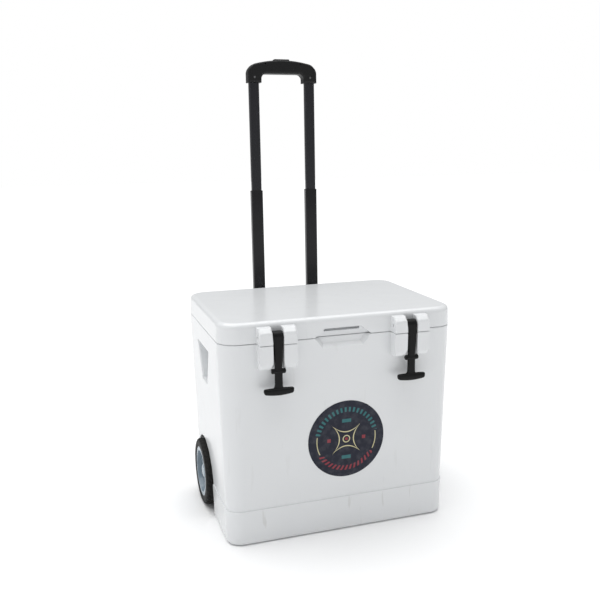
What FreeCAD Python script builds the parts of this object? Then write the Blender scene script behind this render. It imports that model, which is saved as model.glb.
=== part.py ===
import FreeCAD, Part
import math
import os
import re
import Sketcher

# Hard-sided cooler on two wheels, with a two-stage pull handle behind it. Millimetres.
# +Z is up, +X is to the right seen from the front, and -Y is the front.
# The origin is on the floor, at the centre of the body's outline.

V = FreeCAD.Vector

# ------------------------------------------------------------------ driving dimensions
SIZES = {
    # tub: outline at the parting line, below which the walls lean in by the draft
    "body_width": 500,
    "body_depth": 350,
    "corner_radius": 40,
    "parting_height": 424,
    "draft_angle": 1.34,
    "shell_wall": 4,
    "band_height": 75.6,
    "band_step": 1.8,
    "base_round": 9,
    "rim_round": 1.6,
    "bevel_reach": 78,
    "bevel_angle": 40,
    # cavity and liner
    "cavity_width": 400,
    "cavity_depth": 256,
    "cavity_corner": 32,
    "cavity_floor": 104,
    "cavity_draft": 1.5,
    "cavity_round": 12,
    "liner_wall": 3.5,
    "foam_gap": 0.3,
    # lid
    "lid_height": 42,
    "lid_gap": 1.2,
    "lid_wall": 4,
    "lid_round": 11,
    "plug_drop": 9,
    "plug_gap": 4,
    "gasket_width": 7,
    "gasket_inset": 11,
    "gasket_groove": 2,
    # finger pocket across the parting line
    "pocket_half": 60,
    "pocket_foot": 43.5,
    "pocket_drop": 22,
    "pocket_depth": 9,
    "pocket_slope": 45,
    "pocket_crown": 38,
    "pocket_rise": 18,
    "undercut_height": 7.5,
    "undercut_depth": 12,
    # side grip recesses
    "recess_centre": 8,
    "recess_top": 380,
    "recess_foot": 304,
    "recess_top_half": 55,
    "recess_foot_half": 24,
    "recess_depth": 24,
    "recess_round": 4,
    # latch blocks and rubber latches
    "latch_place": 141,
    "block_width": 76,
    "slot_width": 22,
    "block_reach": 25,
    "block_rise": 33,
    "keeper_drop": 48.4,
    "block_round": 4.2,
    "latch_pin": 6,
    "latch_pin_rise": 15.5,
    "latch_pin_reach": 12.5,
    "pin_recess": 7,
    "eye_radius": 11,
    "strap_thick": 9,
    "strap_foot": 14,
    "hook_gap": 1.6,
    "bead_size": 10,
    "bead_length": 29,
    "stem_width": 15.6,
    "stem_length": 30,
    "bar_width": 61,
    "bar_end": 7,
    "bar_belly": 8.5,
    "bar_thick": 13,
    # badge on the front
    "badge_diameter": 166,
    "badge_place": 9,
    "badge_height": 204,
    "badge_thick": 0.4,
    # hinges
    "hinge_place": 152,
    "hinge_width": 60,
    "leaf_thick": 3,
    "leaf_drop": 34,
    "leaf_clear": 0.4,
    "hinge_behind": 6,
    "hinge_rise": 28,
    "hinge_pin": 5,
    "knuckle_diameter": 10.4,
    # wheels and axle
    "wheel_radius": 74,
    "wheel_place": 60,
    "wheel_outside": 255,
    "wheel_thick": 36,
    "tyre_shoulder": 7,
    "rim_radius": 55,
    "ring_width": 8.5,
    "spoke_count": 6,
    "well_gap": 7,
    "axle_diameter": 12,
    "bush_wall": 2,
    "sleeve_diameter": 20,
    "running_fit": 0.05,
    # pull handle, square to the rear wall, measured from where that wall meets the parting line
    "handle_offset": 38,
    "handle_spacing": 135,
    "inner_tube_wide": 24,
    "inner_tube_deep": 15,
    "middle_tube_wide": 28,
    "middle_tube_deep": 19,
    "outer_tube_wide": 32,
    "outer_tube_deep": 23,
    "tube_wall": 1.2,
    "tube_corner": 5,
    "slide_fit": 0.1,
    "outer_tube_top": -14,
    "outer_tube_foot": -335,
    "middle_tube_top": 266,
    "middle_tube_foot": -76,
    "inner_tube_foot": 216,
    "inner_tube_top": 540,
    "collar_wall": 1.8,
    "collar_neck": 10,
    "bush_lip": 2,
    "bracket_top": -24,
    "bracket_height": 36,
    "bracket_low_top": -308,
    "bracket_wall": 4,
    "ear_thick": 5,
    "waist_thick": 7,
    "grip_bottom": 515,
    "grip_under": 535,
    "grip_shoulder": 551,
    "grip_crown": 565.5,
    "grip_half_width": 83,
    "grip_opening": 51,
    "grip_thick": 30,
    "grip_corner": 20,
    "grip_inner_corner": 12,
    "button_width": 37,
    "button_deep": 16,
    "button_proud": 2.8,
    "button_travel": 4,
    "spring_diameter": 7.2,
    "spring_wire": 0.8,
    "lock_pin": 5,
    "screw_fit": 0.1,
    "bracket_screw": 5,
    "bracket_ear": 10,
    "leaf_screw": 4,
    "grip_screw": 3,
    "bar_screw_place": 42,
    "bar_screw_height": 557,
    # drain on the right side
    "drain_place": -92,
    "drain_height": 114,
    "drain_bore": 15,
    "drain_body": 22,
    "drain_flange": 34,
}
THROUGH = "60"

doc = FreeCAD.newDocument("CoolerOnWheels")
sheet = doc.addObject("Spreadsheet::Sheet", "Sizes")
for row, (alias, value) in enumerate(SIZES.items(), 1):
    sheet.set(f"A{row}", alias)
    sheet.set(f"B{row}", str(value))
    sheet.setAlias(f"B{row}", alias)
doc.recompute()

SUBPARTS = []


# ------------------------------------------------------------------ expressions and sketches
def number(expression):
    """The value of an expression in the sheet's words."""
    return float(sheet.evalExpression(str(expression)))


def bind(thing, prop, expression):
    """Ties a property to an expression in the sheet's words."""
    def in_sheet(word):
        return "Sizes." + word[0] if word[0] in SIZES else word[0]
    thing.setExpression(prop, re.sub(r"[a-z_]{3,}", in_sheet, str(expression)))


def new_body(label, place=None, kept=True):
    """A PartDesign body. It is a sub-part named by its label, unless it is only a tool for a cut."""
    body = doc.addObject("PartDesign::Body", label)
    body.Label = label
    body.Placement = place or FreeCAD.Placement()
    if kept:
        SUBPARTS.append(body)
    return body


def cut_from(label, base, tool):
    """The sub-part that is left when tool is cut from base."""
    cut = doc.addObject("Part::Cut", label)
    cut.Base = base
    cut.Tool = tool
    cut.Label = label
    doc.recompute()
    SUBPARTS.append(cut)
    return cut


def origin_part(body, role):
    return next(o for o in body.Origin.OriginFeatures if o.Role == role)


def new_sketch(body, role, offset="0"):
    """A sketch parallel to an origin plane. XY looks along +Z, YZ along +X and XZ along -Y, and the offset
    is along that direction."""
    sketch = body.newObject("Sketcher::SketchObject", body.Name + "_sketch")
    sketch.AttachmentSupport = [(origin_part(body, role), "")]
    sketch.MapMode = "FlatFace"
    sketch.AttachmentOffset = FreeCAD.Placement(V(0, 0, number(offset)), FreeCAD.Rotation())
    bind(sketch, "AttachmentOffset.Base.z", offset)
    return sketch


def pin_point(sketch, geometry, point, x, y):
    """Holds a point of the sketch at a place given by two expressions."""
    for kind, expression in (("DistanceX", x), ("DistanceY", y)):
        constraint = Sketcher.Constraint(kind, -1, 1, geometry, point, number(expression))
        bind(sketch, f"Constraints[{sketch.addConstraint(constraint)}]", expression)


def hold_radius(sketch, geometry, radius):
    constraint = Sketcher.Constraint("Radius", geometry, number(radius))
    bind(sketch, f"Constraints[{sketch.addConstraint(constraint)}]", radius)


def draw_circle(sketch, x, y, radius):
    circle = Part.Circle(V(number(x), number(y), 0), V(0, 0, 1), number(radius))
    index = sketch.addGeometry(circle, False)
    pin_point(sketch, index, 3, x, y)
    hold_radius(sketch, index, radius)


def draw_outline(sketch, points):
    """A closed outline, drawn anticlockwise. A point is (x, y), or (x, y, radius) where an outward arc of
    that radius leads on to the next point."""
    at = [V(number(p[0]), number(p[1]), 0) for p in points]
    first = sketch.GeometryCount
    for i, point in enumerate(points):
        start, end = at[i], at[(i + 1) % len(at)]
        if len(point) == 2:
            sketch.addGeometry(Part.LineSegment(start, end), False)
            continue
        chord = end - start
        radius = number(point[2])
        sagitta = radius - math.sqrt(max(radius ** 2 - (chord.Length / 2) ** 2, 0))
        middle = (start + end) / 2 + V(chord.y, -chord.x, 0).normalize() * sagitta
        sketch.addGeometry(Part.Arc(start, middle, end), False)
    for i, point in enumerate(points):
        here, after = first + i, first + (i + 1) % len(points)
        sketch.addConstraint(Sketcher.Constraint("Coincident", here, 2, after, 1))
        pin_point(sketch, here, 1, point[0], point[1])
        if len(point) == 3:
            hold_radius(sketch, here, point[2])


def draw_rounded(sketch, half_x, half_y, radius, x="0", y="0"):
    """A rounded rectangle about (x, y)."""
    first = sketch.GeometryCount
    centres = []
    for turn, (sx, sy) in enumerate(((1, 1), (-1, 1), (-1, -1), (1, -1))):
        cx = f"{x} + {sx} * ({half_x} - ({radius}))"
        cy = f"{y} + {sy} * ({half_y} - ({radius}))"
        circle = Part.Circle(V(number(cx), number(cy), 0), V(0, 0, 1), number(radius))
        sketch.addGeometry(Part.ArcOfCircle(circle, turn * math.pi / 2, (turn + 1) * math.pi / 2), False)
        centres.append((cx, cy))
    for turn in range(4):
        start = sketch.Geometry[first + turn].EndPoint
        end = sketch.Geometry[first + (turn + 1) % 4].StartPoint
        sketch.addGeometry(Part.LineSegment(start, end), False)
    for turn, (cx, cy) in enumerate(centres):
        arc, line, following = first + turn, first + 4 + turn, first + (turn + 1) % 4
        sketch.addConstraint(Sketcher.Constraint("Tangent", arc, 2, line, 1))
        sketch.addConstraint(Sketcher.Constraint("Tangent", line, 2, following, 1))
        pin_point(sketch, arc, 3, cx, cy)
        if turn:
            sketch.addConstraint(Sketcher.Constraint("Equal", first, arc))
    hold_radius(sketch, first, radius)


# ------------------------------------------------------------------ features
def settle(feature):
    """Works a feature out, and stops if it fails."""
    doc.recompute()
    if "Invalid" in feature.State or "Error" in feature.State:
        raise ValueError(f"{feature.Label} failed: {feature.State}")


def extrude(body, sketch, length, cut=False, back=False, both=False, taper=None):
    """A Pad, or a Pocket where cut is set. It goes the way the sketch looks, or against it where back is
    set, or both ways from it where both is set. A taper narrows it as it goes."""
    kind = "Pocket" if cut else "Pad"
    before = body.Shape.Volume if cut else 0
    feature = body.newObject("PartDesign::" + kind, f"{body.Name}_{kind}")
    feature.Profile = sketch
    feature.Length = number(length)
    bind(feature, "Length", length)
    feature.Reversed = back != cut
    if both:
        feature.SideType = "Symmetric"
    if taper:
        feature.TaperAngle = -number(taper)
        bind(feature, "TaperAngle", f"-{taper}")
    settle(feature)
    if cut and not body.Shape.Volume < before - 1e-6:
        raise ValueError(f"a pocket of {body.Label} cuts nothing")
    return feature


def block(body, role, offset, length, points, **how):
    """A prism of a closed outline."""
    sketch = new_sketch(body, role, offset)
    draw_outline(sketch, points)
    return extrude(body, sketch, length, **how)


def rod(body, role, offset, length, x, y, radius, **how):
    """A cylinder square to one of the origin planes."""
    sketch = new_sketch(body, role, offset)
    draw_circle(sketch, x, y, radius)
    return extrude(body, sketch, length, **how)


def drill(body, x, z, radius, reach=THROUGH):
    """A hole along Y through everything within reach of the body's XZ plane."""
    rod(body, "XZ_Plane", "0", f"2 * ({reach})", x, z, radius, cut=True, both=True)


def bore(body, y, z, radius, **how):
    """A hole along X, right through, or only the right half of the way where both is left out."""
    rod(body, "YZ_Plane", "0", "body_width", y, z, radius, cut=True, **how)


def slab(body, offset, length, half_x, half_y, radius, x="0", y="0", **how):
    """A rounded rectangle taken along Z."""
    sketch = new_sketch(body, "XY_Plane", offset)
    draw_rounded(sketch, half_x, half_y, radius, x, y)
    return extrude(body, sketch, length, **how)


def turn(body, points, cut=False):
    """A Revolution, or a Groove, about the X axis, of an outline in X and radius."""
    sketch = new_sketch(body, "XZ_Plane")
    draw_outline(sketch, points)
    kind = "Groove" if cut else "Revolution"
    feature = body.newObject("PartDesign::" + kind, f"{body.Name}_{kind}")
    feature.Profile = sketch
    feature.ReferenceAxis = (origin_part(body, "X_Axis"), [""])
    feature.Angle = 360
    settle(feature)
    return feature


def round_edges(body, radius, wanted):
    """Fillets the edges for which wanted(edge) is true."""
    base = body.Tip
    names = [f"Edge{i}" for i, edge in enumerate(base.Shape.Edges, 1) if wanted(edge)]
    if not names:
        raise ValueError(f"no edge of {body.Label} to round")
    feature = body.newObject("PartDesign::Fillet", body.Name + "_round")
    feature.Base = (base, names)
    feature.Radius = number(radius)
    bind(feature, "Radius", radius)
    settle(feature)
    return feature


def within(edge, low, high):
    """Whether an edge lies inside the box from low to high."""
    box = edge.BoundBox
    return (low[0] <= box.XMin and box.XMax <= high[0] and low[1] <= box.YMin and box.YMax <= high[1]
            and low[2] <= box.ZMin and box.ZMax <= high[2])


def runs_along(edge, axis):
    return isinstance(edge.Curve, Part.Line) and abs(edge.Curve.Direction.dot(axis)) > 0.999


def rectangle(left, foot, right, top):
    """The corners of a rectangle, anticlockwise."""
    return [(left, foot), (right, foot), (right, top), (left, top)]


def trapezoid(wide, narrow, top, foot, centre="0"):
    """The corners of a trapezoid with its wide side on top, given by half widths."""
    return [(f"{centre} - ({narrow})", foot), (f"{centre} + {narrow}", foot),
            (f"{centre} + {wide}", top), (f"{centre} - ({wide})", top)]


def for_both_sides(body, offset, length, points, **how):
    """The same prism at the right and the left, from a distance out along X and outwards."""
    for sign in (1, -1):
        block(body, "YZ_Plane", f"{sign} * ({offset})", length, points, back=sign < 0, **how)


# ------------------------------------------------------------------ shapes that several pieces share
WELL_INSIDE = "(wheel_outside - wheel_thick - 5)"
LID_FOOT = "(parting_height + lid_gap)"
LID_TOP = "(parting_height + lid_height)"


def drafted_slab(body, inset, top, length):
    """The tub's outline at a height, moved in by inset, taken downwards with the draft."""
    lean = f"((parting_height - ({top})) * tan(draft_angle) + ({inset}))"
    slab(body, top, length, f"(body_width / 2 - {lean})", f"(body_depth / 2 - {lean})",
         f"(corner_radius - {lean})", back=True, taper="draft_angle")


def bevel_points(inset):
    """What the bevel under the rear wall takes away, in Y and Z, with its face moved inwards by inset."""
    start = "(body_depth / 2 - bevel_reach)"
    lift = f"(({inset}) / cos(bevel_angle))"
    beyond = "(bevel_reach + 20)"
    return [(f"{start} - 40 / tan(bevel_angle)", f"{lift} - 40"), (f"{start} + {beyond}", f"{lift} - 40"),
            (f"{start} + {beyond}", f"{lift} + {beyond} * tan(bevel_angle)")]


def arch_points(extra):
    """The wheel arch grown by extra, in Y and Z: half round on top, with straight sides below the axle."""
    radius = f"(wheel_radius + well_gap + ({extra}))"
    return [(f"wheel_place - {radius}", "-5"), (f"wheel_place + {radius}", "-5"),
            (f"wheel_place + {radius}", "wheel_radius", radius),
            ("wheel_place", f"wheel_radius + {radius}", radius),
            (f"wheel_place - {radius}", "wheel_radius")]


def recess_points(extra):
    """A side grip recess grown by extra, in Y and Z."""
    return trapezoid(f"(recess_top_half + {extra})", f"(recess_foot_half + {extra})",
                     f"recess_top + {extra}", f"recess_foot - ({extra})", "recess_centre")


def cut_tub_recesses(body, inset):
    """Cuts the bevel, the wheel arches, the side grips and the finger pocket, all grown by inset."""
    block(body, "YZ_Plane", "0", "body_width + 40", bevel_points(inset), cut=True, both=True)
    for_both_sides(body, f"{WELL_INSIDE} - ({inset})", "80", arch_points(inset), cut=True)
    for_both_sides(body, f"body_width / 2 - recess_depth - ({inset})", "80", recess_points(inset), cut=True)
    cut_pocket_foot(body, inset)


def cut_pocket_foot(body, inset):
    """The finger pocket's half below the parting line, with sloping sides, grown by inset."""
    reach = f"(pocket_depth + {inset} + 1)"
    grown = f"({inset} * tan(pocket_slope / 2) + 1)"
    above = "(pocket_drop + 10)"
    wide = f"(pocket_half + (pocket_half - pocket_foot) * {above} / pocket_drop + {grown})"
    block(body, "XZ_Plane", "body_depth / 2 + 1", reach,
          trapezoid(wide, f"(pocket_foot + {grown})", f"parting_height + {above}",
                    f"parting_height - pocket_drop - {grown}"), cut=True, back=True, taper="pocket_slope")


def cut_pocket_crown(body, inset):
    """The finger pocket's half above the parting line, grown by inset."""
    crown = f"parting_height + pocket_rise + {inset}"
    wide = f"(pocket_half + {inset})"
    narrow = f"(pocket_crown + {inset})"
    block(body, "XZ_Plane", f"body_depth / 2 - pocket_depth - ({inset})", "60",
          [(f"-{wide}", "parting_height - 20"), (wide, "parting_height - 20"), (wide, LID_FOOT),
           (narrow, crown), (f"-{narrow}", crown), (f"-{wide}", LID_FOOT)], cut=True)


def cut_undercut(body, inset):
    """The slot at the top of the finger pocket, behind its face, that fingers hook into, grown by inset."""
    half = f"(pocket_crown + {inset})"
    crown = f"parting_height + pocket_rise + {inset}"
    deep = f"body_depth / 2 - pocket_depth - undercut_depth - ({inset})"
    block(body, "XZ_Plane", deep, "undercut_depth + 5",
          rectangle(f"-{half}", f"{crown} - undercut_height - 2 * ({inset})", half, crown), cut=True)


def add_lobes(body, points):
    """A pair of lobes with a slot between them, at each latch, from a profile in Y and Z."""
    for latch in (1, -1):
        for side in (1, -1):
            middle = f"{latch} * latch_place + {side} * (slot_width + block_width) / 4"
            block(body, "YZ_Plane", middle, "(block_width - slot_width) / 2", points, both=True)


def round_lobes(body, low, high):
    """Rounds the lobes' edges in front of the face, between two heights."""
    front = -number("body_depth / 2")
    span = number("latch_place + block_width / 2") + 1
    low_corner, high_corner = (-span, front - 60, low), (span, front - 0.5, high)
    round_edges(body, "block_round", lambda edge: within(edge, low_corner, high_corner)
                and edge.BoundBox.YMin < front - 4)


# ------------------------------------------------------------------ tub
def round_tub_edges(body):
    """Rounds the side grips and the rim."""
    side = number("body_width / 2")
    face = number("body_depth / 2")
    low, high = number("recess_foot") - 1, number("recess_top") + 1
    mouth = side - number("recess_depth") / 4
    for sign in (1, -1):
        inner, outer = sorted((sign * mouth, sign * (side + 1)))
        round_edges(body, "recess_round", lambda edge: within(edge, (inner, -face, low), (outer, face, high))
                    and not runs_along(edge, V(1, 0, 0)))
    rim = number("parting_height")
    round_edges(body, "rim_round", lambda edge: edge.BoundBox.ZMin > rim - 0.01)


def build_tub():
    outside = new_body("tub_outside", kept=False)
    drafted_slab(outside, "0", "parting_height", "parting_height - band_height")
    drafted_slab(outside, "-band_step", "band_height", "band_height")
    round_edges(outside, "base_round", lambda edge: edge.BoundBox.ZMax < 0.01)
    reach = "(body_depth / 2 + block_reach)"
    keeper = "(parting_height - keeper_drop)"
    add_lobes(outside, [("-(body_depth / 2 - 2.5)", "parting_height"), (f"-{reach}", "parting_height"),
                        (f"-({reach} - 0.8)", f"{keeper} + 9"), (f"-({reach} - 6)", f"{keeper} + 0.6"),
                        ("-(body_depth / 2 - 3)", keeper)])
    round_lobes(outside, number(keeper) - 1, number("parting_height") - 0.01)
    cut_tub_recesses(outside, "0")
    round_tub_edges(outside)
    bore(outside, "wheel_place", "wheel_radius", "sleeve_diameter / 2 + foam_gap", both=True)
    bore(outside, "drain_place", "drain_height", "drain_body / 2 + slide_fit")
    hollow = new_body("tub_hollow", kept=False)
    drafted_slab(hollow, "shell_wall", "parting_height", "parting_height - shell_wall")
    cut_tub_recesses(hollow, "shell_wall")
    cut_from("tub_shell", outside, hollow)


def liner_slab(body, extra, top, foot, cut=False):
    """The cavity grown by extra, from a height down to another."""
    lean = f"((parting_height - ({top})) * tan(cavity_draft))"
    slab(body, top, f"{top} - ({foot})", f"(cavity_width / 2 + {extra} - {lean})",
         f"(cavity_depth / 2 + {extra} - {lean})", f"(cavity_corner + {extra} - {lean})",
         back=True, taper="cavity_draft", cut=cut)


def build_liner():
    outside = new_body("liner_outside", kept=False)
    inset = "(shell_wall + slide_fit)"
    foot = "(cavity_floor - liner_wall)"
    liner_slab(outside, "liner_wall", "parting_height", foot)
    round_edges(outside, "cavity_round + liner_wall", lambda edge: edge.BoundBox.ZMax < number(foot) + 0.01)
    slab(outside, "parting_height", "liner_wall", f"(body_width / 2 - {inset})", f"(body_depth / 2 - {inset})",
         f"(corner_radius - {inset})", back=True, taper="draft_angle")
    cut_pocket_foot(outside, inset)
    bore(outside, "drain_place", "drain_height", "drain_body / 2 + slide_fit")
    hollow = new_body("liner_hollow", kept=False)
    liner_slab(hollow, "0", "parting_height", "cavity_floor")
    round_edges(hollow, "cavity_round", lambda edge: edge.BoundBox.ZMax < number("cavity_floor") + 0.01)
    cut_from("tub_liner", outside, hollow)


def build_tub_foam():
    body = new_body("tub_foam")
    inset = "(shell_wall + foam_gap)"
    top = "(parting_height - liner_wall - foam_gap)"
    drafted_slab(body, inset, top, f"{top} - {inset}")
    cut_tub_recesses(body, inset)
    liner_slab(body, "(liner_wall + foam_gap)", top, "(cavity_floor - liner_wall - foam_gap)", cut=True)
    bore(body, "wheel_place", "wheel_radius", "sleeve_diameter / 2 + foam_gap", both=True)
    bore(body, "drain_place", "drain_height", "drain_body / 2 + foam_gap")


def build_badge():
    """A thin disc that lies on the sloping front wall."""
    drop = number("parting_height - badge_height")
    face = -number("body_depth / 2") + drop * math.tan(math.radians(number("draft_angle")))
    turned = FreeCAD.Rotation(V(1, 0, 0), number("draft_angle"))
    place = FreeCAD.Placement(V(number("badge_place"), face, number("badge_height")), turned)
    body = new_body("front_badge", place)
    rod(body, "XZ_Plane", "0", "badge_thick", "0", "0", "badge_diameter / 2")


# ------------------------------------------------------------------ lid
def lid_slab(body, inset, foot, top):
    """The lid's outline, moved in by inset, taken upwards with the draft, with its top edge rounded."""
    lean = f"((({foot}) - parting_height) * tan(draft_angle) + ({inset}))"
    slab(body, foot, f"{top} - ({foot})", f"(body_width / 2 - {lean})", f"(body_depth / 2 - {lean})",
         f"(corner_radius - {lean})", taper="draft_angle")
    high = number(top)
    round_edges(body, f"lid_round - ({inset})", lambda edge: edge.BoundBox.ZMin > high - 0.01)


def build_lid_shell():
    outside = new_body("lid_outside", kept=False)
    lid_slab(outside, "0", LID_FOOT, LID_TOP)
    reach = "(body_depth / 2 + block_reach)"
    head = "(parting_height + block_rise)"
    add_lobes(outside, [("-(body_depth / 2 - 3.2)", head), (f"-({reach} - 9)", f"{head} - 0.5"),
                        (f"-({reach} - 1)", f"{head} - 8"), (f"-{reach}", f"{head} - 12"), (f"-{reach}", LID_FOOT),
                        ("-(body_depth / 2 - 3)", LID_FOOT)])
    round_lobes(outside, number(LID_FOOT) + 0.01, number(head) + 1)
    cut_pocket_crown(outside, "0")
    cut_undercut(outside, "0")
    bore(outside, "-(body_depth / 2 + latch_pin_reach)", "parting_height + latch_pin_rise",
         "latch_pin / 2 + running_fit", both=True)
    hollow = new_body("lid_hollow", kept=False)
    lid_slab(hollow, "lid_wall", LID_FOOT, f"({LID_TOP} - lid_wall)")
    cut_pocket_crown(hollow, "lid_wall")
    cut_undercut(hollow, "lid_wall")
    cut_from("lid_shell", outside, hollow)


def plug_slab(body, inset, top, foot, cut=False):
    """The lid's plug that drops into the cavity, moved in by inset."""
    slab(body, top, f"{top} - ({foot})", f"(cavity_width / 2 - plug_gap - ({inset}))",
         f"(cavity_depth / 2 - plug_gap - ({inset}))", f"(cavity_corner - plug_gap - ({inset}))",
         back=True, cut=cut)


def build_lid_liner():
    body = new_body("lid_liner")
    inset = "(lid_wall + slide_fit)"
    plate_top = f"({LID_FOOT} + liner_wall)"
    foot = "(parting_height - plug_drop)"
    rim = f"({inset} + 0.15)"
    slab(body, plate_top, "liner_wall", f"(body_width / 2 - {rim})", f"(body_depth / 2 - {rim})",
         f"(corner_radius - {inset})", back=True)
    plug_slab(body, "0", LID_FOOT, foot)
    round_edges(body, "liner_wall", lambda edge: edge.BoundBox.ZMax < number(foot) + 0.01)
    plug_slab(body, "liner_wall", plate_top, f"{foot} + liner_wall", cut=True)
    cut_pocket_crown(body, "(lid_wall + slide_fit)")
    groove = new_sketch(body, "XY_Plane", LID_FOOT)
    draw_gasket(groove, "slide_fit")
    extrude(body, groove, "gasket_groove", cut=True)


def draw_gasket(sketch, extra):
    """Two rounded outlines, either side of the gasket's middle line."""
    for sign in (1, -1):
        grown = f"(gasket_inset + {sign} * (gasket_width / 2 + ({extra})))"
        draw_rounded(sketch, f"(cavity_width / 2 + {grown})", f"(cavity_depth / 2 + {grown})",
                     f"(cavity_corner + {grown})")


def build_lid_foam():
    body = new_body("lid_foam")
    gap = "(lid_wall + foam_gap)"
    plate_top = f"({LID_FOOT} + liner_wall + foam_gap)"
    lid_slab(body, gap, plate_top, f"({LID_TOP} - {gap})")
    plug_slab(body, "(liner_wall + foam_gap)", plate_top,
              "(parting_height - plug_drop + liner_wall + foam_gap)")
    cut_pocket_crown(body, gap)
    cut_undercut(body, gap)


def build_gasket():
    body = new_body("lid_gasket")
    foot = "(parting_height + slide_fit / 2)"
    sketch = new_sketch(body, "XY_Plane", foot)
    draw_gasket(sketch, "0")
    extrude(body, sketch, f"{LID_FOOT} + gasket_groove - {foot}")


# ------------------------------------------------------------------ latches
def build_latch(side, sign):
    """A rubber strap that turns on a pin in the lid, and the pin. The strap's own origin is on the pin."""
    pin_y = -number("body_depth / 2 + latch_pin_reach")
    pin_z = number("parting_height + latch_pin_rise")
    place = FreeCAD.Placement(V(sign * number("latch_place"), pin_y, pin_z), FreeCAD.Rotation())
    pin = new_body(f"{side}_latch_pin", place)
    rod(pin, "YZ_Plane", "0", "block_width - 2 * pin_recess", "0", "0", "latch_pin / 2", both=True)

    strap = new_body(f"{side}_latch_strap", place)
    front = "(block_reach - latch_pin_reach - 1)"
    hook = "-(latch_pin_rise + keeper_drop + hook_gap)"
    bead_middle = f"({hook} - bead_size / 2)"
    bar_top = f"({bead_middle} - stem_length)"
    head = "(slot_width / 2 - 0.25)"
    belly = "(((bar_width / 2) ^ 2 + bar_belly ^ 2) / (2 * bar_belly))"
    block(strap, "XZ_Plane", f"{front} - strap_thick - 1", "bar_thick",
          [("-bar_width / 2", f"{bar_top} - bar_end", belly), ("bar_width / 2", f"{bar_top} - bar_end"),
           ("bar_width / 2", bar_top), ("-bar_width / 2", bar_top)])
    round_edges(strap, "3", lambda edge: True)
    rod(strap, "YZ_Plane", "0", f"2 * {head}", "0", "0", "eye_radius", both=True)
    block(strap, "XZ_Plane", f"{front} - strap_thick", "strap_thick",
          [(f"-{head} + 0.6", "0"), ("-strap_foot / 2", hook), ("-strap_foot / 2", bead_middle),
           ("strap_foot / 2", bead_middle), ("strap_foot / 2", hook), (f"{head} - 0.6", "0")])
    rod(strap, "YZ_Plane", "0", "bead_length", f"-({front} - bead_size / 2 + 0.5)", bead_middle,
        "bead_size / 2", both=True)
    block(strap, "XZ_Plane", f"{front} - strap_thick + 0.5", "strap_thick - 1",
          rectangle("-stem_width / 2", f"{bar_top} - 2", "stem_width / 2", bead_middle))
    bore(strap, "0", "0", "latch_pin / 2 + running_fit", both=True)


# ------------------------------------------------------------------ hinges
def screw(name, place, shank, shank_length, head, head_height):
    """A screw along its own Z: the head above zero and the shank below."""
    top = doc.addObject("Part::Cylinder", name + "_head")
    top.Radius = head / 2
    top.Height = head_height
    body = doc.addObject("Part::Cylinder", name + "_shank")
    bind(body, "Radius", f"{shank} / 2")
    body.Height = shank_length + head_height / 2
    body.Placement = FreeCAD.Placement(V(0, 0, -shank_length), FreeCAD.Rotation())
    whole = doc.addObject("Part::Fuse", name)
    whole.Base = top
    whole.Tool = body
    whole.Placement = place
    return whole


def screw_group(label, places, shank, shank_length, head, head_height):
    """Identical screws as one sub-part of separate solids."""
    group = doc.addObject("Part::Compound", label)
    group.Links = [screw(f"{label}_{i}", place, shank, shank_length, head, head_height)
                   for i, place in enumerate(places, 1)]
    group.Label = label
    doc.recompute()
    SUBPARTS.append(group)


REARWARD = FreeCAD.Rotation(V(1, 0, 0), -90)
FORWARD = FreeCAD.Rotation(V(1, 0, 0), 90)


TUB_LEAF_SCREWS = ("-hinge_width / 3", "0", "hinge_width / 3")
LEAF_SCREW_DROP = "(leaf_drop / 2 + 2)"
LID_LEAF_SCREWS = ("11", "20")


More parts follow.
